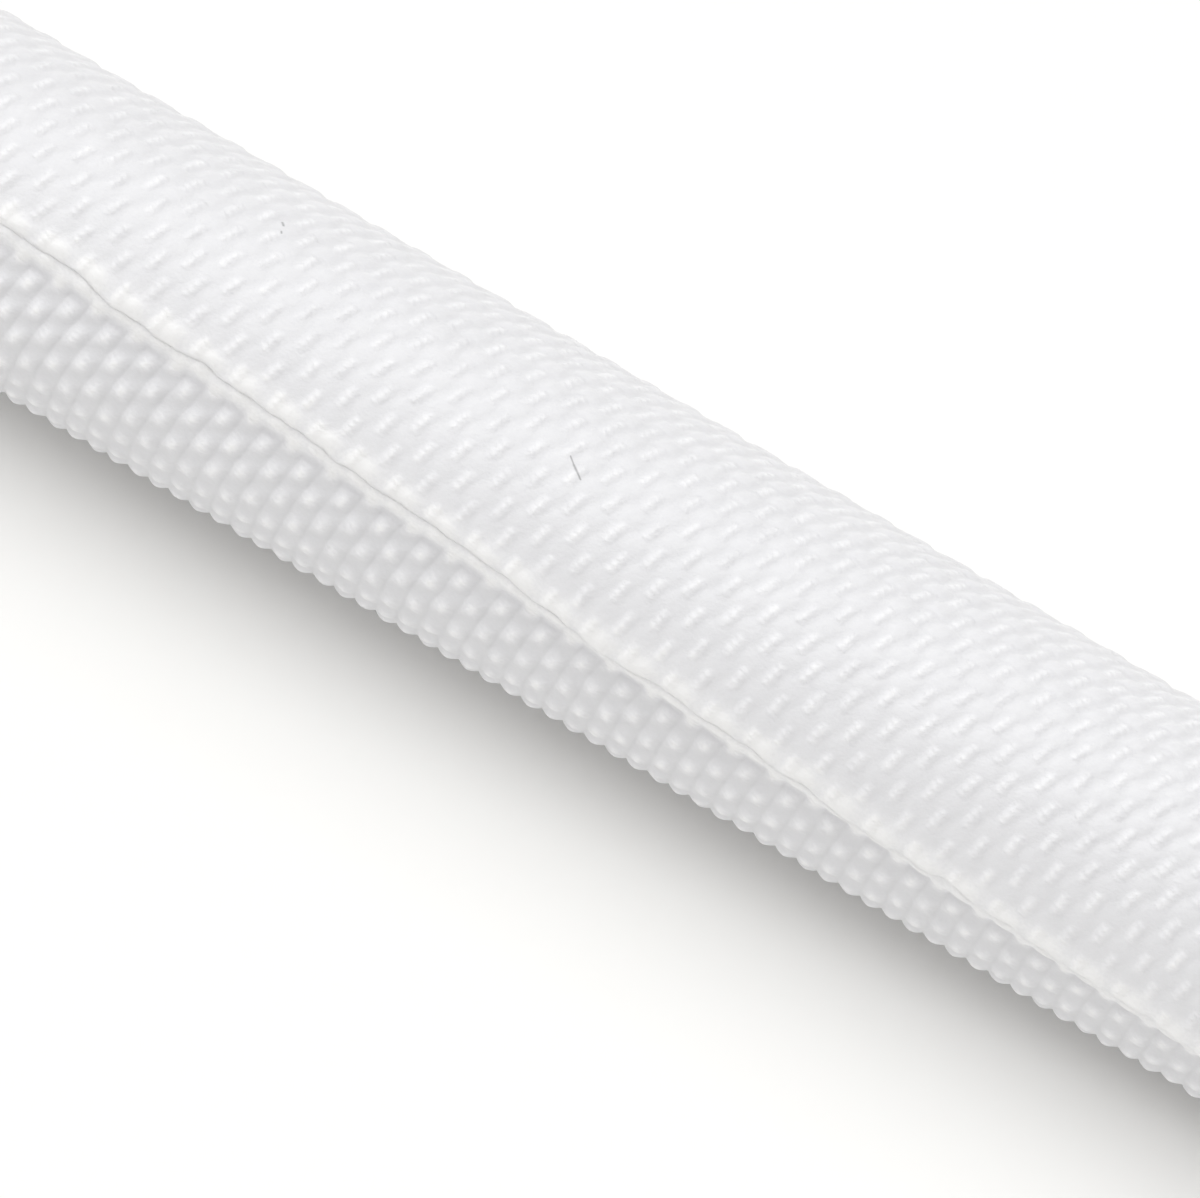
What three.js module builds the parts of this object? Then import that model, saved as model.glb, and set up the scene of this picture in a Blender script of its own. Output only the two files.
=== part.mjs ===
// A self-closing woven cable sleeve: one band of white polyester cloth, set into a tube whose
// long edges overlap. The outer edge lies on the layer below it and winds slowly round the tube.
// Units are millimetres. The sleeve lies along X on the plane Z = 0, with the origin under its middle.

import * as THREE from 'three';

// The cut length, and the band of cloth that is rolled up
const LENGTH = 500;
const OUTER_RADIUS = 6.35;
const WALL = 0.6;
const OVERLAP_DEG = 90;
const LAYER_GAP = 0.08;

// The last part of the turn, in which the band tucks in to slide under its own edge
const TUCK_DEG = 45;

// The seam is the outer long edge. It winds round the sleeve once in about this length.
const SEAM_TURN_LENGTH = 445;

// The round faces have this many facets
const FACETS_PER_TURN = 24;
const EDGE_FACETS = 4;

// The sleeve lies with a facet straight down. At the +X end the seam is this many facets past it.
const FACETS_FROM_FLOOR_TO_SEAM = 5.5;

const WHITE_POLYESTER = { color: 0xececec, roughness: 0.75, metalness: 0 };

const radians = THREE.MathUtils.degToRad;
const FULL_TURN = 360;
const FACET_DEG = FULL_TURN / FACETS_PER_TURN;

// The section is placed once for each facet that the seam winds past, so that the facets run
// straight along the sleeve and don't wind with the seam.
const SEAM_STEPS = Math.round((LENGTH * FACETS_PER_TURN) / SEAM_TURN_LENGTH);

// How far the band has moved in at a turn from the seam: one wall and one gap, once it is past the
// tuck.
function movedIn(turnDeg) {
  const share = THREE.MathUtils.smoothstep(turnDeg, FULL_TURN - TUCK_DEG, FULL_TURN);
  return (WALL + LAYER_GAP) * share;
}

// A point of the section at a turn from the seam, and a depth below the band's outer face.
// The turn runs from the seam over the covering flap, which is clockwise seen from the +X end.
function sectionPoint(turnDeg, depth) {
  const radius = OUTER_RADIUS - movedIn(turnDeg) - depth;
  const angle = radians(turnDeg);
  return new THREE.Vector2(radius * Math.sin(angle), radius * Math.cos(angle));
}

// The turns at which the section has a corner, from one long edge of the band to the other.
// Both layers have their corners at the same angles, so that the gap between them stays even.
function sectionTurns() {
  const end = FULL_TURN + OVERLAP_DEG;
  const turns = [];
  for (let turn = 0; turn < end - FACET_DEG / 2; turn += FACET_DEG) turns.push(turn);
  turns.push(end);
  return turns;
}

// The round long edge of the band: a half circle as thick as the wall, without its two ends.
// The sign is -1 at the seam and 1 at the hidden edge.
function roundEdge(turnDeg, sign) {
  const centre = sectionPoint(turnDeg, WALL / 2);
  const outward = sectionPoint(turnDeg, 0).sub(centre);
  const along = new THREE.Vector2(outward.y, -outward.x).multiplyScalar(sign);
  const points = [];
  for (let i = 1; i < EDGE_FACETS; i += 1) {
    const angle = (Math.PI * i) / EDGE_FACETS;
    const point = centre.clone();
    point.addScaledVector(outward, Math.cos(angle) * sign);
    point.addScaledVector(along, Math.sin(angle));
    points.push(point);
  }
  return points;
}

// The closed outline of the rolled band: its outer face, hidden edge, inner face and seam edge.
function sectionOutline() {
  const turns = sectionTurns();
  const end = turns[turns.length - 1];
  const outerFace = turns.map((turn) => sectionPoint(turn, 0));
  const innerFace = turns.map((turn) => sectionPoint(turn, WALL)).reverse();
  return [...outerFace, ...roundEdge(end, 1), ...innerFace, ...roundEdge(0, -1)];
}

// The section at one step of the seam from the +X end, turned to where the seam is there. The
// seam's angle counts from straight up towards -Y.
function ringAt(outline, step) {
  const x = LENGTH / 2 - (LENGTH * step) / SEAM_STEPS;
  const seamDeg = FULL_TURN / 2 + (FACETS_FROM_FLOOR_TO_SEAM - step) * FACET_DEG;
  const middle = new THREE.Vector2(0, 0);
  return outline.map((corner) => {
    const turned = corner.clone().rotateAround(middle, radians(seamDeg));
    return new THREE.Vector3(x, turned.x, turned.y);
  });
}

// The two triangles between neighbouring corners of two rings, split along the shorter diagonal,
// which is the one that runs straight along the sleeve.
function wallTriangles(a, b, c, d, corners) {
  const oneWay = corners[a].distanceTo(corners[d]);
  const otherWay = corners[b].distanceTo(corners[c]);
  return oneWay < otherWay ? [a, d, b, a, c, d] : [a, c, b, b, c, d];
}

// The sleeve: the section swept along X with the turn of the seam, closed by two flat cut ends.
function sleeveGeometry() {
  const outline = sectionOutline();
  const size = outline.length;
  const last = SEAM_STEPS * size;
  const corners = [];
  for (let step = SEAM_STEPS; step >= 0; step -= 1) corners.push(...ringAt(outline, step));
  const triangles = [];
  for (let here = 0; here < last; here += size) {
    const there = here + size;
    for (let j = 0; j < size; j += 1) {
      const next = (j + 1) % size;
      triangles.push(...wallTriangles(here + j, here + next, there + j, there + next, corners));
    }
  }
  for (const [a, b, c] of THREE.ShapeUtils.triangulateShape(outline, [])) {
    triangles.push(a, c, b, last + a, last + b, last + c);
  }
  const geometry = new THREE.BufferGeometry().setFromPoints(corners);
  geometry.setIndex(triangles);
  return geometry;
}

// Sets the origin under the middle of the sleeve, on the plane that it lies on.
function standOnOrigin(geometry) {
  geometry.computeBoundingBox();
  const { min, max } = geometry.boundingBox;
  geometry.translate(-(min.x + max.x) / 2, -(min.y + max.y) / 2, -min.z);
  geometry.computeVertexNormals();
  return geometry;
}

function wovenSleeve() {
  const cloth = new THREE.MeshStandardMaterial(WHITE_POLYESTER);
  const mesh = new THREE.Mesh(standOnOrigin(sleeveGeometry()), cloth);
  mesh.name = 'woven_sleeve';
  return mesh;
}

const cableSleeve = new THREE.Group();
cableSleeve.add(wovenSleeve());

export default cableSleeve;
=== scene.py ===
"""A white woven cable sleeve that closes itself: one band of cloth, rolled until its edges overlap.

The cloth is laid out flat first, in cloth coordinates: X counts cross threads along the sleeve, Y
counts lengthwise threads from the seam, and Z is the height over the middle of the cloth in
millimetres. Geometry Nodes then roll it onto the sleeve.
"""

from math import cos, degrees, pi, radians, sin

import bpy
import numpy as np
from mathutils import Matrix, Vector


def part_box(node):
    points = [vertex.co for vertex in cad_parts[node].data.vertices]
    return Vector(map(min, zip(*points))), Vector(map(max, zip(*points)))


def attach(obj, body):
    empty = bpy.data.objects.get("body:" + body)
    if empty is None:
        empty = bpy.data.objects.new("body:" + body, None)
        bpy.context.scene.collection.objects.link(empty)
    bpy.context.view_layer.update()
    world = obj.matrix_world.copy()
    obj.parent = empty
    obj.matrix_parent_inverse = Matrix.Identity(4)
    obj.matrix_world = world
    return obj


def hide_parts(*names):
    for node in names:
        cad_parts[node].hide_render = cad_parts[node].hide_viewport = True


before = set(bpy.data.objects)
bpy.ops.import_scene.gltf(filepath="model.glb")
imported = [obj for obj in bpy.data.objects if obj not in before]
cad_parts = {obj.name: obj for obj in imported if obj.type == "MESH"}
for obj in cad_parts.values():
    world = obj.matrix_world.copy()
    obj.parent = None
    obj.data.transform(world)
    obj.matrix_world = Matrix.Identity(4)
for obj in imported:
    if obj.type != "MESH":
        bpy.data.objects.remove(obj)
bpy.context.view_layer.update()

bl_info = {
    "name": "Woven cable sleeve",
    "version": (1, 0, 0),
    "blender": (4, 5, 0),
    "location": "3D View > Sidebar > Cable sleeve",
    "description": "Weaves a self-closing cable sleeve around its packed solid",
    "category": "Object",
}

SLEEVE = "woven_sleeve"
CLOTH_MAP = "cloth"

MM = 0.001
SOLID_LOW, SOLID_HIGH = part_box(SLEEVE)
SOLID_FACETS = 24

# The cross threads of the whole length, and those that the photo's view takes in, counted from the
# -X end. Their stretch has a fine mesh. The rest has the same weave in a coarser one, to stay light.
ALL_WEFTS = 532
CLOSE_FROM = 227
CLOSE_TO = 305

# How far the cut lengthwise threads stand out of the cloth at each end, in cross threads
END_STUB = 0.25

# The cross threads at which the band is cut into lengths
CUTS = (END_STUB, 112.0, CLOSE_FROM, CLOSE_TO, 418.0, ALL_WEFTS - END_STUB)

# The lengthwise threads that show. The rest lie under the flap.
SHOWN_WARPS = 50
ALL_WARPS = 62

# The lengthwise thread at which the close stretch is cut in two, at the back near the floor
BACK_CUT = 27


class SleeveSizes(bpy.types.PropertyGroup):
    """The rolled band of cloth, in millimetres and degrees."""

    length: bpy.props.FloatProperty(
        name="Length", description="Cut length of the sleeve",
        default=(SOLID_HIGH.x - SOLID_LOW.x) / MM)
    axis_height: bpy.props.FloatProperty(
        name="Axis height", description="Height of the sleeve's middle line over the floor",
        default=(SOLID_HIGH.z + SOLID_LOW.z) / 2 / MM)
    outer_radius: bpy.props.FloatProperty(
        name="Outer radius", description="Radius to the crowns of the threads",
        default=(SOLID_HIGH.z - SOLID_LOW.z) / 2 / MM / cos(pi / SOLID_FACETS))
    wall: bpy.props.FloatProperty(
        name="Wall", description="Thickness of the cloth", default=0.6)
    layer_gap: bpy.props.FloatProperty(
        name="Layer gap", description="Gap between the flap and the layer below it", default=0.08)
    tuck: bpy.props.FloatProperty(
        name="Tuck", description="Last part of the turn, in which the cloth slides under the flap",
        default=45.0)
    seam_middle: bpy.props.FloatProperty(
        name="Seam angle", description="Where the seam is at mid length, from the top towards -Y",
        default=60.0)
    seam_rate: bpy.props.FloatProperty(
        name="Seam turn", description="Degrees that the seam winds in one millimetre", default=0.81)
    skew: bpy.props.FloatProperty(
        name="Skew", description="How far a cross thread leans along the sleeve, per length across",
        default=0.296)


class WeaveSizes(bpy.types.PropertyGroup):
    """The plain weave of the cloth."""

    wefts: bpy.props.IntProperty(
        name="Cross threads", description="Number of cross threads in the length",
        default=ALL_WEFTS)
    flap_step: bpy.props.FloatProperty(
        name="Flap thread angle", description="Angle between lengthwise threads on the flap",
        default=7.854)
    layer_step: bpy.props.FloatProperty(
        name="Layer thread angle", description="Angle between lengthwise threads on the layer below",
        default=6.794)
    crown: bpy.props.FloatProperty(
        name="Lengthwise crown", description="Greatest height of the lengthwise threads",
        default=0.26)
    pad_rise: bpy.props.FloatProperty(
        name="Lengthwise swell", description="How far they swell over a cross thread",
        default=0.12)
    bar_rise: bpy.props.FloatProperty(
        name="Cross swell", description="How far a cross thread swells where it shows",
        default=0.065)
    edge_share: bpy.props.FloatProperty(
        name="Relief at the seam", description="Share of the lengthwise swell near the seam",
        default=0.25)
    edge_drop: bpy.props.FloatProperty(
        name="Edge drop", description="How far the cloth bends down at the seam", default=0.12)
    rim_rise: bpy.props.FloatProperty(
        name="Rim", description="How far the woven edge stands out along the seam", default=0.14)
    layer_drop: bpy.props.FloatProperty(
        name="Layer dip", description="How deep the cloth dips between pearls on the layer below",
        default=0.14)
    pearl_rise: bpy.props.FloatProperty(
        name="Pearls", description="How far the cross threads swell there", default=0.19)
    corner_fill: bpy.props.FloatProperty(
        name="Corner fill", description="How far the layer below swells against the flap's edge",
        default=0.46)
    unevenness: bpy.props.FloatProperty(
        name="Unevenness", description="How far threads stray, as a share of their spacing",
        default=0.15)


class SleeveColours(bpy.types.PropertyGroup):
    """The yarn."""

    yarn: bpy.props.FloatVectorProperty(
        name="Yarn", description="Colour of the yarn where it is not lighter or darker",
        subtype="COLOR", default=(0.788, 0.790, 0.812))


class StudioSettings(bpy.types.PropertyGroup):
    """The floor, the light and the camera."""

    dome: bpy.props.FloatProperty(
        name="Dome", description="Brightness of the white room", default=0.66)
    overhead: bpy.props.FloatProperty(
        name="Overhead", description="Brightness of the wide light above", default=1.55)
    overhead_angle: bpy.props.FloatProperty(
        name="Overhead width", description="How wide the light above looks", subtype="ANGLE",
        default=radians(62.0))
    floor: bpy.props.FloatVectorProperty(
        name="Floor", description="Colour of the floor", subtype="COLOR",
        default=(0.942, 0.94, 0.930))


class Formula:
    """A number in a node tree, so that a rule can be written out as a sum or a product."""

    def __init__(self, tree, socket):
        self.tree = tree
        self.socket = socket

    def made_by(self, operation, *others):
        node = self.tree.nodes.new("ShaderNodeMath")
        node.operation = operation
        for slot, value in zip(node.inputs, (self, *others)):
            plug(self.tree, slot, value)
        return Formula(self.tree, node.outputs[0])

    def __add__(self, other):
        return self.made_by("ADD", other)

    def __sub__(self, other):
        return self.made_by("SUBTRACT", other)

    def __mul__(self, other):
        return self.made_by("MULTIPLY", other)

    def __truediv__(self, other):
        return self.made_by("DIVIDE", other)

    def sine(self):
        return self.made_by("SINE")

    def cosine(self):
        return self.made_by("COSINE")

    def size(self):
        return self.made_by("ABSOLUTE")

    def at_least(self, other):
        return self.made_by("MAXIMUM", other)

    def at_most(self, other):
        return self.made_by("MINIMUM", other)

    def share(self):
        """Kept between 0 and 1."""
        return self.at_least(0.0).at_most(1.0)

    def eased(self):
        """A share that starts and ends gently."""
        part = self.share()
        return part * part * (part * -2.0 + 3.0)


def plug(tree, slot, value):
    """Sets an input of a node to a number, or links it to a formula or to another node."""
    if isinstance(value, Formula):
        value = value.socket
    if isinstance(value, bpy.types.NodeSocket):
        tree.links.new(value, slot)
    else:
        slot.default_value = value


def add_node(tree, kind, settings=None, **inputs):
    """A node with its settings and its inputs, whose names have _ for a space."""
    node = tree.nodes.new(kind)
    for name, value in (settings or {}).items():
        setattr(node, name, value)
    for name, value in inputs.items():
        plug(tree, node.inputs[name.replace("_", " ")], value)
    return node


def new_tree(name, sizes):
    """A Geometry Nodes tree with a named input for each size. Gives it and its input node."""
    tree = bpy.data.node_groups.new(name, "GeometryNodeTree")
    face = tree.interface
    face.new_socket("Geometry", in_out="INPUT", socket_type="NodeSocketGeometry")
    face.new_socket("Geometry", in_out="OUTPUT", socket_type="NodeSocketGeometry")
    for label, value in sizes.items():
        whole = isinstance(value, int)
        kind = "NodeSocketInt" if whole else "NodeSocketFloat"
        socket = face.new_socket(label, in_out="INPUT", socket_type=kind)
        socket.default_value = value
    entry = tree.nodes.new("NodeGroupInput")
    return tree, entry


def formula_of(tree, entry, label):
    return Formula(tree, entry.outputs[label])


def place_of(tree):
    """The three coordinates of a point, as formulas."""
    position = tree.nodes.new("GeometryNodeInputPosition")
    parts = add_node(tree, "ShaderNodeSeparateXYZ", Vector=position.outputs[0])
    return [Formula(tree, output) for output in parts.outputs]


def roll_tree(sizes, weave):
    """The tree that rolls flat cloth onto the sleeve."""
    turn_in = sizes.wall + sizes.layer_gap
    tree, entry = new_tree("Roll onto the sleeve", {
        "Axis height": sizes.axis_height,
        "Outer radius": sizes.outer_radius,
        "Half wall": sizes.wall / 2,
        "Moves in": turn_in,
        "Tuck": sizes.tuck,
        "Seam angle": sizes.seam_middle,
        "Seam turn": sizes.seam_rate,
        "Skew": sizes.skew,
        "Length": sizes.length,
        "Cross threads": float(weave.wefts),
        "Flap thread angle": weave.flap_step,
        "Layer thread angle": weave.layer_step,
        "Unevenness": weave.unevenness,
    })

    def size_of(label):
        return formula_of(tree, entry, label)

    along, across, height = place_of(tree)
    along, across = strayed(tree, along, across, size_of("Unevenness"))

    turn = turn_of(across, size_of("Flap thread angle"), size_of("Layer thread angle"))
    past_tuck = (turn - 360.0 + size_of("Tuck")) / size_of("Tuck")
    radius = size_of("Outer radius") - size_of("Half wall") + height
    radius = radius - size_of("Moves in") * past_tuck.eased()

    half_length = size_of("Length") * 0.5
    straight = (along / size_of("Cross threads") - 0.5) * size_of("Length")
    from_end = (half_length - straight.size()) / SKEW_FADE
    lean = size_of("Skew") * size_of("Outer radius") * (turn - 180.0) / degrees(1.0)
    place = straight + lean * from_end.eased()

    angle = (size_of("Seam angle") + size_of("Seam turn") * place - turn) / degrees(1.0)
    rolled = add_node(
        tree, "ShaderNodeCombineXYZ",
        X=place * MM,
        Y=radius * angle.sine() * -MM,
        Z=(size_of("Axis height") + radius * angle.cosine()) * MM)
    moved = add_node(
        tree, "GeometryNodeSetPosition",
        Geometry=entry.outputs["Geometry"], Position=rolled.outputs[0])
    finish = tree.nodes.new("NodeGroupOutput")
    plug(tree, finish.inputs[0], moved.outputs[0])
    return tree


# The skew of the cross threads fades out over this many millimetres before each square cut end
SKEW_FADE = 60.0

# The threads stand closer from the first of these lengthwise threads on, fully so at the second
SPACING_FROM = 15.0
SPACING_TO = 40.0


def turn_of(across, flap_step, layer_step):
    """The turn in degrees from the seam to a place across the cloth."""
    span = SPACING_TO - SPACING_FROM
    raw = (across - SPACING_FROM) / span
    part = raw.share()
    eased_sum = part * part * part * (part * -0.5 + 1.0) + (raw - 1.0).at_least(0.0)
    return flap_step * across - (flap_step - layer_step) * eased_sum * span


# How often the wandering of the threads changes within a thread spacing, and how much more the
# cloth wanders along the seam
STRAY_ALONG = 0.31
STRAY_ACROSS = 0.43
SEAM_SWAY = 4.0


def strayed(tree, along, across, unevenness):
    """Cloth coordinates with the small wandering of real threads."""
    spot = add_node(
        tree, "ShaderNodeCombineXYZ", X=along * STRAY_ALONG, Y=across * STRAY_ACROSS, Z=7.5)
    noise = add_node(
        tree, "ShaderNodeTexNoise", {"noise_dimensions": "3D"},
        Vector=spot.outputs[0], Scale=1.0, Detail=2.0, Roughness=0.6)
    parts = add_node(tree, "ShaderNodeSeparateXYZ", Vector=noise.outputs["Color"])
    sideways, lengthways, sway = [Formula(tree, output) - 0.5 for output in parts.outputs]
    near_seam = (across * -0.5 + 1.0).share()
    sideways = sideways + sway * near_seam * SEAM_SWAY
    return along + lengthways * unevenness * 2.0, across + sideways * unevenness * 2.0


def finished_tree(tree, geometry, roll, material):
    """Ends a tree: keeps the cloth coordinates as a UV map, rolls, realizes and colours."""
    along, across, _ = place_of(tree)
    flat = add_node(tree, "ShaderNodeCombineXYZ", X=along, Y=across)
    mapped = add_node(
        tree, "GeometryNodeStoreNamedAttribute", {"data_type": "FLOAT2", "domain": "CORNER"},
        Geometry=geometry, Name=CLOTH_MAP, Value=flat.outputs[0])
    rolled = add_node(tree, "GeometryNodeGroup", {"node_tree": roll})
    plug(tree, rolled.inputs["Geometry"], mapped.outputs[0])
    real = add_node(tree, "GeometryNodeRealizeInstances", Geometry=rolled.outputs[0])
    coloured = add_node(
        tree, "GeometryNodeSetMaterial", Geometry=real.outputs[0], Material=material)
    finish = tree.nodes.new("NodeGroupOutput")
    plug(tree, finish.inputs[0], coloured.outputs[0])
    return tree


def flat_cloth_tree(roll, material):
    """The tree for pieces whose flat shape is a mesh already."""
    tree, entry = new_tree("Roll a flat piece", {})
    return finished_tree(tree, entry.outputs["Geometry"], roll, material)


def thread_tree(sizes, roll, material):
    """The tree for a row of straight lengthwise threads with an oval section."""
    tree, entry = new_tree("Cut threads", sizes)

    def size_of(label):
        return formula_of(tree, entry, label)

    first = size_of("First thread")
    line = tree.nodes.new("GeometryNodeCurvePrimitiveLine")
    for label in ("Start", "End"):
        point = add_node(tree, "ShaderNodeCombineXYZ", X=size_of(label), Y=first)
        plug(tree, line.inputs[label], point.outputs[0])
    samples = (size_of("End") - size_of("Start")) * size_of("Rings per thread crossed") + 1.0
    finely = add_node(
        tree, "GeometryNodeResampleCurve", Curve=line.outputs[0], Count=samples.socket)
    step = add_node(tree, "ShaderNodeCombineXYZ", Y=1.0)
    rows = add_node(
        tree, "GeometryNodeMeshLine", {"mode": "OFFSET"},
        Count=size_of("Threads"), Offset=step.outputs[0])
    copies = add_node(
        tree, "GeometryNodeInstanceOnPoints", Points=rows.outputs[0], Instance=finely.outputs[0])
    lines = add_node(tree, "GeometryNodeRealizeInstances", Geometry=copies.outputs[0])
    upright = add_node(
        tree, "GeometryNodeSetCurveNormal", {"mode": "Z_UP"}, Curve=lines.outputs[0])
    ring = add_node(
        tree, "GeometryNodeCurvePrimitiveCircle", Resolution=size_of("Sides").socket, Radius=1.0)
    proportions = add_node(
        tree, "ShaderNodeCombineXYZ", X=size_of("Half width"), Y=size_of("Half height"), Z=1.0)
    section = add_node(
        tree, "GeometryNodeTransform", Geometry=ring.outputs[0], Scale=proportions.outputs[0])
    skin = tree.nodes.new("GeometryNodeCurveToMesh")
    plug(tree, skin.inputs["Curve"], upright.outputs[0])
    plug(tree, skin.inputs["Profile Curve"], section.outputs[0])
    skin.inputs["Fill Caps"].default_value = True
    smooth = add_node(tree, "GeometryNodeSetShadeSmooth", Geometry=skin.outputs[0])
    return finished_tree(tree, smooth.outputs[0], roll, material)


def baked(name, mesh, tree, values=None):
    """A plain mesh object made by a Geometry Nodes tree from a flat mesh."""
    source = bpy.data.objects.new(name + "_source", mesh)
    bpy.context.scene.collection.objects.link(source)
    modifier = source.modifiers.new("Weave", "NODES")
    modifier.node_group = tree
    for item in tree.interface.items_tree:
        if item.in_out == "INPUT" and values and item.name in values:
            modifier[item.identifier] = values[item.name]
    bpy.context.view_layer.update()
    depsgraph = bpy.context.evaluated_depsgraph_get()
    made = bpy.data.meshes.new_from_object(source.evaluated_get(depsgraph), depsgraph=depsgraph)
    bpy.data.objects.remove(source)
    made.name = name
    piece = bpy.data.objects.new(name, made)
    bpy.context.scene.collection.objects.link(piece)
    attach(piece, "root")
    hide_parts(SLEEVE)
    print(name, "triangles", sum(len(face.vertices) - 2 for face in made.polygons))
    return piece


def cross_share(along, across):
    """How much of the cross yarn shows at a place of the cloth, from 0 to 1, for arrays.

    Each cross thread shows as a bar over every second lengthwise thread. On the layer below the
    bars are as round as pearls.
    """
    low = eased(across, SPACING_FROM, SPACING_TO)
    beside = np.abs(along % 1.0 - 0.5) / blend(BAR_WIDTH, low)
    away = np.abs((across - 0.5 - np.floor(along)) % 2.0 - 1.0)
    ends = 1 - eased(away, blend(BAR_FULL_TO, low), blend(BAR_ENDS_AT, low))
    return ((1 - eased(beside, 0, 1)) * ends) ** (1 - PEARL_PLUMPNESS * low)


def blend(pair, low):
    """A value for the flap and one for the layer below, mixed by how low the place is."""
    return low * (pair[1] - pair[0]) + pair[0]


def weave_height(along, across, weave):
    """The height of the cloth's outer face over its middle, in millimetres, for arrays.

    The lengthwise threads swell over the hidden cross threads as soft pads, and the cross threads
    show as bars between the pads. Near the seam the pads are flatter and the edge has a rim.
    """
    low = eased(across, SPACING_FROM, SPACING_TO)
    away = np.abs((along - 0.5 - np.floor(across)) % 2.0 - 1.0)
    pad = (1 - eased(1 - away, *PAD_ENDS)) * (1 - np.abs(across % 1.0 * 2 - 1) ** 3)
    past_edge = np.clip((across - FLAT_TO) / (FULL_FROM - FLAT_TO), 0, 1)
    pads = weave.pad_rise * (weave.edge_share + (1 - weave.edge_share) * past_edge)
    dips = pads * (1 - pad) * (1 - low) + weave.layer_drop * low
    bars = cross_share(along, across) * blend((weave.bar_rise, weave.pearl_rise), low)
    bent = weave.edge_drop * np.clip(1 - across / EDGE_WIDTH, 0, 1) ** 2
    bead = RIM_BODY + BEAD_SWELL * np.cos(pi * along)
    rim = weave.rim_rise * bead * (1 - eased(np.abs(across - RIM_ACROSS), 0, RIM_WIDTH))
    fill = eased(across, *CORNER_RISES) * (1 - eased(across, *CORNER_FALLS))
    relief = (bars - dips) * (1 - CORNER_SMOOTH * fill) + weave.corner_fill * fill
    return weave.crown + relief - bent + rim


def eased(value, start, end):
    """A share that grows gently from 0 at one value to 1 at another, for arrays."""
    part = np.clip((value - start) / (end - start), 0, 1)
    return part * part * (3 - 2 * part)


# Half the width of a bar, where it starts to end and where it has ended, in thread spacings: on the
# flap and on the layer below
BAR_WIDTH = (0.36, 0.5)
BAR_FULL_TO = (0.38, 0.05)
BAR_ENDS_AT = (0.68, 0.78)
PEARL_PLUMPNESS = 0.5

# Where a pad starts and ends, counted in cross threads from the middle between two pads
PAD_ENDS = (0.2, 0.62)

# The rim along the seam: where its crown lies and how far it reaches, in lengthwise threads. It
# swells where each cross thread turns back, by BEAD_SWELL more or less than RIM_BODY.
RIM_ACROSS = 0.3
RIM_WIDTH = 0.55
RIM_BODY = 0.6
BEAD_SWELL = 0.4

# The surface is flat up to the first of these lengthwise threads and swells fully at the second
FLAT_TO = 3.0
FULL_FROM = 12.0

# The surface bends down to the seam over this many lengthwise threads
EDGE_WIDTH = 1.6

# The layer below swells against the flap's edge, between these lengthwise threads, and loses this
# share of its weave there
CORNER_RISES = (47.2, 48.3)
CORNER_FALLS = (48.8, 49.4)
CORNER_SMOOTH = 0.6

# Rows of the cloth's mesh for each cross thread, and columns for each lengthwise one
ROWS = 2
COLUMNS = 3
CLOSE_ROWS = 8
CLOSE_COLUMNS = 5

# The hidden faces, in millimetres from the band's middle: its inner face, with a column every
# INNER_STEP threads, and its outer face under the flap
INNER_FACE = -0.3
INNER_STEP = 3
HIDDEN_FACE = 0.2

# The round long edges of the band, from its outer face to its inner one: how far out, in threads,
# and the height in millimetres
EDGE_STEPS = ((0.06, 0.14), (0.2, 0.02), (0.2, -0.14), (0.1, -0.26))


def band_outline(columns, half):
    """The outline of the flat band: across, height, and whether the height follows the weave.

    The half is None for the whole band, 0 for the flap's side of it and 1 for the other side.
    """
    first = BACK_CUT if half == 1 else 0
    last = BACK_CUT if half == 0 else SHOWN_WARPS
    outline = [(k / columns, 0.0, True) for k in range(first * columns, last * columns + 1)]
    if half != 0:
        outline += [(float(k), HIDDEN_FACE, False) for k in range(SHOWN_WARPS + 1, ALL_WARPS)]
        outline += [(ALL_WARPS + out, height, False) for out, height in EDGE_STEPS]
    inner_from = BACK_CUT if half == 0 else ALL_WARPS - 1
    inner_to = BACK_CUT if half == 1 else 1
    for k in range(inner_from, inner_to, -INNER_STEP):
        outline.append((float(k), INNER_FACE, False))
    outline.append((float(inner_to), INNER_FACE, False))
    if half != 1:
        outline += [(-out, height, False) for out, height in reversed(EDGE_STEPS)]
    return outline


def cap_triangles(across):
    """Short triangles between the outer and the inner face of a cut end, which stay in the cloth."""
    turn = int(np.argmax(across))
    outer = list(range(turn + 1))
    inner = list(range(len(across) - 1, turn, -1))
    triangles = []
    i = j = 0
    while i < len(outer) - 1 or j < len(inner) - 1:
        outer_left = i < len(outer) - 1
        inner_left = j < len(inner) - 1
        if outer_left and (not inner_left or across[outer[i + 1]] <= across[inner[j + 1]]):
            triangles.append((outer[i], outer[i + 1], inner[j]))
            i += 1
        else:
            triangles.append((outer[i], inner[j + 1], inner[j]))
            j += 1
    return triangles


# Just inside each cut the relief keeps the cut's own height over this part of a cross thread, so
# that the shading of two lengths that meet agrees
JOINT = 0.05


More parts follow.
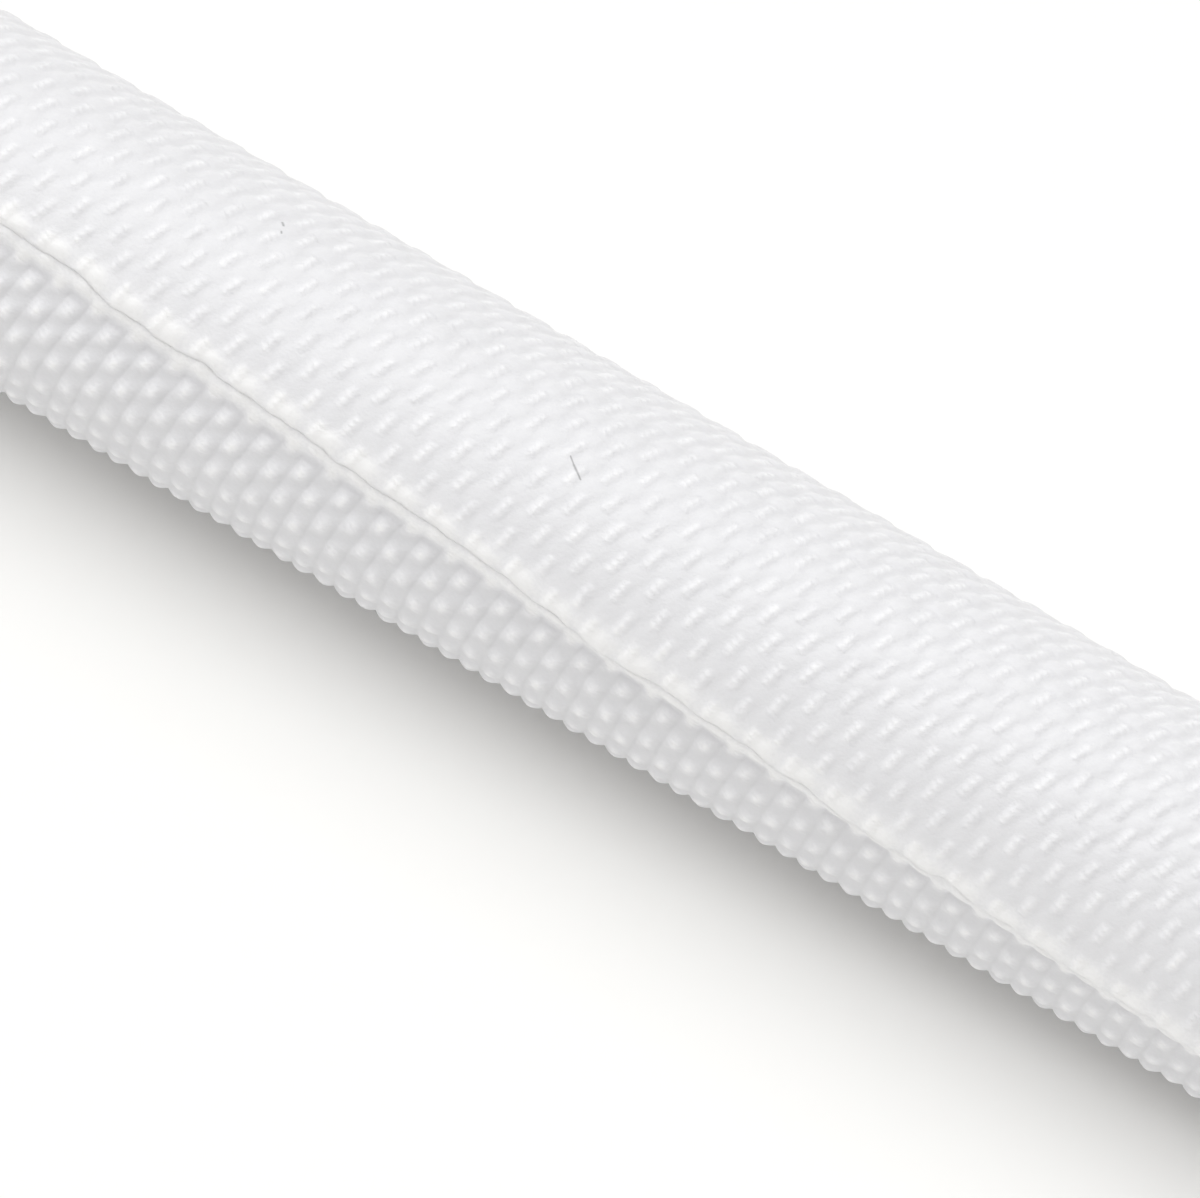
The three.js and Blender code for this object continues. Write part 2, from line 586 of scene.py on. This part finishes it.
def band_mesh(name, start, end, weave, half=None):
    """A closed flat length of the band between two cross threads, or one half of it."""
    close = half is not None
    per_weft = CLOSE_ROWS if close else ROWS
    first = int(start * per_weft) + 1
    inner_rows = [k / per_weft for k in range(first, int(np.ceil(end * per_weft)))]
    rows = [start, start + JOINT, *inner_rows, end - JOINT, end]
    outline = band_outline(CLOSE_COLUMNS if close else COLUMNS, half)
    across = np.array([point[0] for point in outline])
    plain = np.array([point[1] for point in outline])
    woven = np.array([point[2] for point in outline])
    along = np.array(rows, float)
    grid_along, grid_across = np.meshgrid(along, across, indexing="ij")
    weave_along = grid_along.copy()
    weave_along[1] = start
    weave_along[-2] = end
    relief = weave_height(weave_along, grid_across, weave)
    height = np.where(woven[None, :], relief, plain[None, :])
    points = np.stack([grid_along, grid_across, height], -1).reshape(-1, 3)

    size = len(outline)
    faces = []
    for here in range(0, (len(rows) - 1) * size, size):
        for k in range(size):
            after = (k + 1) % size
            faces.append((here + k, here + size + k, here + size + after, here + after))
    last = (len(rows) - 1) * size
    caps = []
    for corners in cap_triangles(across):
        caps.append(corners)
        caps.append(tuple(last + k for k in reversed(corners)))
    mesh = bpy.data.meshes.new(name)
    mesh.from_pydata(points.tolist(), [], faces + caps)
    smooth = [True] * len(faces) + [False] * len(caps)
    mesh.polygons.foreach_set("use_smooth", smooth)
    mesh.update()
    return mesh


def new_material(name):
    """An empty material with a shader. Gives the material, its tree and the shader."""
    material = bpy.data.materials.new(name)
    material.use_nodes = True
    tree = material.node_tree
    tree.nodes.clear()
    shader = tree.nodes.new("ShaderNodeBsdfPrincipled")
    output = tree.nodes.new("ShaderNodeOutputMaterial")
    tree.links.new(shader.outputs[0], output.inputs["Surface"])
    return material, tree, shader


def cloth_place(tree):
    """The cloth coordinates of a shaded point, as formulas."""
    cloth = add_node(tree, "ShaderNodeUVMap", {"uv_map": CLOTH_MAP})
    parts = add_node(tree, "ShaderNodeSeparateXYZ", Vector=cloth.outputs[0])
    return Formula(tree, parts.outputs[0]), Formula(tree, parts.outputs[1])


def tinted(tree, colour, factor):
    """A colour that a formula makes lighter or darker."""
    tint = add_node(tree, "ShaderNodeVectorMath", {"operation": "SCALE"})
    tint.inputs[0].default_value = colour
    plug(tree, tint.inputs["Scale"], factor)
    return tint.outputs[0]


def speckle(tree, x, y, detail=2.0):
    """Fine noise over two formulas, from 0 to 1."""
    spot = add_node(tree, "ShaderNodeCombineXYZ", X=x, Y=y, Z=3.7)
    noise = add_node(tree, "ShaderNodeTexNoise", Vector=spot.outputs[0], Scale=1.0, Detail=detail)
    return Formula(tree, noise.outputs["Fac"])


def yarn_shader(tree, shader, colour, factor, height, bump_distance, seep):
    """Soft white plastic that lets some light seep through."""
    tree.links.new(tinted(tree, colour, factor), shader.inputs["Base Color"])
    shader.inputs["Roughness"].default_value = 0.42
    shader.inputs["IOR"].default_value = 1.5
    plug(tree, shader.inputs["Subsurface Weight"], seep)
    shader.inputs["Subsurface Radius"].default_value = (1.0, 1.0, 1.0)
    shader.inputs["Subsurface Scale"].default_value = SEEP_DEPTH * MM
    bump = add_node(
        tree, "ShaderNodeBump", Strength=1.0, Distance=bump_distance, Height=height)
    tree.links.new(bump.outputs[0], shader.inputs["Normal"])


def cut_yarn(colours):
    """The yarn of the cut tips: smooth, with fine filaments along it."""
    material, tree, shader = new_material("cut_yarn")
    along, across = cloth_place(tree)
    filaments = speckle(tree, along * 2.2, across * 21.0)
    patches = speckle(tree, along * 0.45, across * 0.45)
    factor = filaments * 0.05 + patches * 0.06 + 0.945
    yarn_shader(
        tree, shader, tuple(colours.yarn), factor, filaments, FILAMENT_RELIEF * MM, CUT_SEEP)
    return material


# How far light seeps through the yarn, and how deep the filaments are, in millimetres
SEEP_DEPTH = 0.3
FILAMENT_RELIEF = 0.03

# The share of light that seeps through the cloth and through the cut tips. There is none next to a
# cut, where two pieces meet: it starts at the first of these distances and grows over the second.
SEEP = 0.7
CUT_SEEP = 0.2
SEEP_STARTS = 0.8
SEEP_GROWS = 3.0


def seep_share(along, across, wefts, moulded):
    """The share of light that seeps through at a place of the cloth."""
    from_cut = along.at_most(along * -1.0 + float(wefts))
    for place in CUTS[1:-1]:
        from_cut = from_cut.at_most((along - place).size())
    if not moulded:
        from_cut = from_cut.at_most((across - BACK_CUT).size())
    return ((from_cut - SEEP_STARTS) / SEEP_GROWS).eased() * SEEP


def bar_share(along, across, low):
    """What cross_share gives for arrays, as a formula, without the plumpness of the pearls."""
    row = along.made_by("FLOOR")
    beside = (along - row - 0.5).size() / blend(BAR_WIDTH, low)
    away = ((across - row - 0.5).made_by("FLOORED_MODULO", 2.0) - 1.0).size()
    full_to, ends_at = blend(BAR_FULL_TO, low), blend(BAR_ENDS_AT, low)
    ends = ((away - full_to) / (ends_at - full_to)).eased() * -1.0 + 1.0
    return (beside.eased() * -1.0 + 1.0) * ends


def woven_face(colours, weave, moulded):
    """The cloth, lighter where the cross yarn shows, with a painted highlight along the rim, painted
    light in the corner under the flap and on the flap near its edge, and painted highlights and
    shade on the pearls of the layer below.

    Where the mesh is too coarse for the bars, they are moulded by bump as well.
    """
    material, tree, shader = new_material("woven_face" if moulded else "woven_face_close")
    along, across = cloth_place(tree)
    low = ((across - SPACING_FROM) / (SPACING_TO - SPACING_FROM)).eased()
    bar = bar_share(along, across, low)
    beads = (across * BEADS_ACROSS + along * BEADS_ALONG).sine() * 0.5 + 0.5
    patches = speckle(tree, along * PATCHES, across * PATCHES)
    tufts = speckle(tree, along * TUFTS, across * TUFTS)
    fuzz = speckle(tree, along * FUZZ, across * FUZZ)

    # Painted highlight along the rim of the seam, beaded where each cross thread turns back
    rim = ((across - RIM_ACROSS).size() / RIM_HIGHLIGHT_REACH * -1.0 + 1.0).eased()
    rim = rim * ((along * pi).cosine() * 0.25 + tufts * 0.8 + 0.5)
    # Painted light in the corner under the flap's edge, where the step would cast shade
    corner = ((across - CORNER_LIGHT_SPAN[0]) / CORNER_LIGHT_FADE).eased()
    corner = corner * (((across - CORNER_LIGHT_SPAN[1]) / CORNER_LIGHT_FADE).eased() * -1.0 + 1.0)
    # Painted light on the flap over its last threads before the seam, where the cloth bends down
    edge = (across / EDGE_LIGHT_REACH * -1.0 + 1.0).share()

    lighter = bar * (patches * 2.2 - 0.6 + beads * 0.3) * BAR_LIGHTER
    lighter = lighter + rim * RIM_HIGHLIGHT + corner * (tufts + 0.5) * CORNER_PAINTED_LIGHT
    # Painted highlights on the pearls of the layer below, and painted shade on the layer around them
    lighter = lighter + low * (bar * (tufts + bar - 0.7) - 0.15) * PEARL_HIGHLIGHT_AND_SHADE
    lighter = lighter + edge * EDGE_PAINTED_LIGHT
    factor = patches * 0.06 + tufts * 0.04 + fuzz * 0.04 + 0.925 + lighter
    factor = factor.at_most(LIGHTEST) * (marks(tree, along, across) * -MARK_DARKNESS + 1.0)

    height = tufts * TUFT_RISE + fuzz * FUZZ_RISE + bar * (beads * BEAD_RISE + tufts * BAR_TUFT_RISE)
    if moulded:
        height = height + bar * weave.bar_rise * COARSE_BUMP
    seep = seep_share(along, across, weave.wefts, moulded)
    yarn_shader(tree, shader, tuple(colours.yarn), factor, height, MM, seep)
    return material


def marks(tree, along, across):
    """How strongly a place lies in one of the small dark marks, as thin lines in cloth places."""
    deepest = along * 0.0
    for (x0, y0), (x1, y1), width in MARKS:
        dx, dy = x1 - x0, y1 - y0
        part = ((along - x0) * dx + (across - y0) * dy) / (dx * dx + dy * dy)
        part = part.share()
        aside = along - x0 - part * dx
        askew = across - y0 - part * dy
        distance = (aside * aside + askew * askew).made_by("SQRT")
        deepest = deepest.at_least((distance / width * -1.0 + 1.0).eased())
    return deepest


# A stray fibre and a speck: start, end and half width, in thread counts
MARKS = (
    ((265.69, 6.13), (266.07, 5.88), 0.05),
    ((266.07, 5.88), (266.54, 5.64), 0.075),
    ((266.54, 5.64), (266.82, 5.49), 0.06),
    ((249.10, 7.60), (249.32, 7.45), 0.08),
    ((249.52, 7.12), (249.60, 7.05), 0.06),
)
MARK_DARKNESS = 0.45

# The beads of the cross yarn's twist, in radians for each thread spacing
BEADS_ACROSS = 2 * pi * 2.9
BEADS_ALONG = 2 * pi * 0.9

# How often the speckles change within a thread spacing, from the widest kind to the finest
PATCHES = 1.1
TUFTS = 6.0
FUZZ = 15.0

# The height of the fine relief, in millimetres, and the share of a bar's swell that the coarse
# mesh leaves to bump
BEAD_RISE = 0.02
TUFT_RISE = 0.02
BAR_TUFT_RISE = 0.03
FUZZ_RISE = 0.006
COARSE_BUMP = 0.4

# How much lighter the cross yarn is; the painted highlight of the rim, the painted light in the
# corner under the flap, the painted highlights on the pearls of the layer below with the painted
# shade between them, and the painted light on the flap near its edge; and the greatest lightness of
# all
BAR_LIGHTER = 0.11
RIM_HIGHLIGHT = 0.16
CORNER_PAINTED_LIGHT = 0.17
PEARL_HIGHLIGHT_AND_SHADE = 0.13
EDGE_PAINTED_LIGHT = 0.035
LIGHTEST = 1.2

# How far the painted light of the rim, the corner under the flap and the flap near its edge reaches,
# in lengthwise threads
RIM_HIGHLIGHT_REACH = 1.3
CORNER_LIGHT_SPAN = (CORNER_RISES[0] - 0.4, CORNER_FALLS[0])
CORNER_LIGHT_FADE = 1.2
EDGE_LIGHT_REACH = 8.0


class WeavePiece:
    """What every operator here shares."""

    bl_options = {"REGISTER"}

    def sizes(self, context):
        return context.scene.sleeve_sizes, context.scene.weave_sizes, context.scene.sleeve_colours


class SLEEVE_OT_cloth(WeavePiece, bpy.types.Operator):
    """Makes the moulded cloth of the whole band, in lengths that stay light"""

    bl_idname = "sleeve.cloth"
    bl_label = "Cloth"

    def execute(self, context):
        sizes, weave, colours = self.sizes(context)
        roll = roll_tree(sizes, weave)
        far = flat_cloth_tree(roll, woven_face(colours, weave, True))
        near = flat_cloth_tree(roll, woven_face(colours, weave, False))
        stretches = [(start, end, None) for start, end in zip(CUTS, CUTS[1:])]
        middle = len(stretches) // 2
        stretches[middle:middle + 1] = [(CLOSE_FROM, CLOSE_TO, 0), (CLOSE_FROM, CLOSE_TO, 1)]
        for k, (start, end, half) in enumerate(stretches, 1):
            mesh = band_mesh(f"cloth_flat_{k}", start, end, weave, half)
            baked(f"cloth_band_{k}", mesh, far if half is None else near)
        return {"FINISHED"}


# The cut tips: half the width in lengthwise threads, half the height in millimetres
CUT_HALF_WIDTH = 0.4
CUT_HALF_HEIGHT = 0.2
CUT_SIDES = 8


def cut_values(start):
    """What the row of cut tips needs that starts at a cross thread."""
    return {
        "Start": float(start), "End": start + 1.0, "First thread": 0.5, "Threads": ALL_WARPS,
        "Sides": CUT_SIDES, "Half width": CUT_HALF_WIDTH, "Half height": CUT_HALF_HEIGHT,
        "Rings per thread crossed": 2.0,
    }


class SLEEVE_OT_cut_threads(WeavePiece, bpy.types.Operator):
    """Makes the cut tips of the lengthwise threads at both ends"""

    bl_idname = "sleeve.cut_threads"
    bl_label = "Cut threads"

    def execute(self, context):
        sizes, weave, colours = self.sizes(context)
        starts = {"minus_x": 0.0, "plus_x": weave.wefts - 1.0}
        roll = roll_tree(sizes, weave)
        tree = thread_tree(cut_values(0.0), roll, cut_yarn(colours))
        for name, start in starts.items():
            mesh = bpy.data.meshes.new("empty")
            baked("cut_threads_" + name, mesh, tree, cut_values(start))
        return {"FINISHED"}


# The camera: what it looks at, where it stands as seen from there, and its long lens
SEAM_IN_VIEW = 56.8
CAMERA_AZIMUTH = 36.07
CAMERA_ELEVATION = 53.42
CAMERA_DISTANCE = 606.3
CAMERA_DROP = -1.827
LENS_PIXELS = 16303.3
FRAME_WIDTH = 1200
SENSOR = 36.0

# The floor lies just under the solid's lowest facet, because the round cloth bulges past it
FLOOR_DROP = 0.00006
FLOOR_HALF = 30.0

# The wide light leans this many degrees from straight above, to the back and to the -X end
OVERHEAD_LEAN = 8.0
OVERHEAD_SIDE = 25.0


class SLEEVE_OT_stage(WeavePiece, bpy.types.Operator):
    """Makes the floor, the light and the camera"""

    bl_idname = "sleeve.stage"
    bl_label = "Stage"

    def execute(self, context):
        sizes = context.scene.sleeve_sizes
        studio = context.scene.studio_settings
        self.floor(studio)
        self.light(context.scene, studio)
        self.camera(context.scene, sizes)
        context.scene.view_settings.view_transform = "Standard"
        return {"FINISHED"}

    def floor(self, studio):
        mesh = bpy.data.meshes.new("floor")
        corners = [(-1, -1), (1, -1), (1, 1), (-1, 1)]
        points = [(x * FLOOR_HALF, y * FLOOR_HALF, -FLOOR_DROP) for x, y in corners]
        mesh.from_pydata(points, [], [(0, 1, 2, 3)])
        material, tree, shader = new_material("floor_white")
        shader.inputs["Base Color"].default_value = (*studio.floor, 1.0)
        shader.inputs["Roughness"].default_value = 1.0
        shader.inputs["Specular IOR Level"].default_value = 0.0
        mesh.materials.append(material)
        floor = bpy.data.objects.new("floor", mesh)
        bpy.context.scene.collection.objects.link(floor)

    def light(self, scene, studio):
        world = bpy.data.worlds.new("white_room")
        scene.world = world
        world.use_nodes = True
        tree = world.node_tree
        tree.nodes.clear()
        room = add_node(tree, "ShaderNodeBackground", Color=(1.0, 0.985, 0.955, 1.0))
        room.inputs["Strength"].default_value = studio.dome
        backdrop = add_node(tree, "ShaderNodeBackground", Color=(1.0, 1.0, 1.0, 1.0))
        path = tree.nodes.new("ShaderNodeLightPath")
        mix = tree.nodes.new("ShaderNodeMixShader")
        tree.links.new(path.outputs["Is Camera Ray"], mix.inputs[0])
        tree.links.new(room.outputs[0], mix.inputs[1])
        tree.links.new(backdrop.outputs[0], mix.inputs[2])
        output = tree.nodes.new("ShaderNodeOutputWorld")
        tree.links.new(mix.outputs[0], output.inputs["Surface"])

        lamp = bpy.data.lights.new("overhead", "SUN")
        lamp.energy = studio.overhead
        lamp.angle = studio.overhead_angle
        lamp.color = (0.975, 0.985, 1.0)
        overhead = bpy.data.objects.new("overhead", lamp)
        overhead.rotation_euler = (radians(-OVERHEAD_LEAN), radians(-OVERHEAD_SIDE), 0.0)
        scene.collection.objects.link(overhead)

    def camera(self, scene, sizes):
        azimuth, elevation = radians(CAMERA_AZIMUTH), radians(CAMERA_ELEVATION)
        back = Vector((
            sin(azimuth) * cos(elevation), -cos(azimuth) * cos(elevation), sin(elevation)))
        right = Vector((cos(azimuth), sin(azimuth), 0.0))
        up = back.cross(right)
        seam_place = (SEAM_IN_VIEW - sizes.seam_middle) / sizes.seam_rate
        target = Vector((seam_place, 0.0, sizes.axis_height)) + up * CAMERA_DROP
        turned = Matrix((right, up, back)).transposed().to_4x4()
        turned.translation = (target + back * CAMERA_DISTANCE) * MM
        data = bpy.data.cameras.new("camera")
        data.sensor_width = SENSOR
        data.lens = LENS_PIXELS * SENSOR / FRAME_WIDTH
        data.clip_start = 0.05
        data.clip_end = 100.0
        camera = bpy.data.objects.new("camera", data)
        camera.matrix_world = turned
        scene.collection.objects.link(camera)
        scene.camera = camera


class SLEEVE_PT_panel(bpy.types.Panel):
    """Sizes, colours and the steps that build the sleeve"""

    bl_label = "Cable sleeve"
    bl_space_type = "VIEW_3D"
    bl_region_type = "UI"
    bl_category = "Cable sleeve"

    def draw(self, context):
        for group in (context.scene.sleeve_sizes, context.scene.weave_sizes,
                      context.scene.sleeve_colours, context.scene.studio_settings):
            box = self.layout.box()
            for name in group.__annotations__:
                box.prop(group, name)
        for step in STEPS:
            self.layout.operator(step.bl_idname)


STEPS = (SLEEVE_OT_stage, SLEEVE_OT_cloth, SLEEVE_OT_cut_threads)
GROUPS = {
    "sleeve_sizes": SleeveSizes,
    "weave_sizes": WeaveSizes,
    "sleeve_colours": SleeveColours,
    "studio_settings": StudioSettings,
}


def register():
    for group in GROUPS.values():
        bpy.utils.register_class(group)
    for name, group in GROUPS.items():
        setattr(bpy.types.Scene, name, bpy.props.PointerProperty(type=group))
    for step in (*STEPS, SLEEVE_PT_panel):
        bpy.utils.register_class(step)


def unregister():
    for step in (SLEEVE_PT_panel, *reversed(STEPS)):
        bpy.utils.unregister_class(step)
    for name in GROUPS:
        delattr(bpy.types.Scene, name)
    for group in reversed(GROUPS.values()):
        bpy.utils.unregister_class(group)


def main():
    register()
    bpy.ops.sleeve.stage()
    bpy.ops.sleeve.cloth()
    bpy.ops.sleeve.cut_threads()


if __name__ == "__main__":
    main()
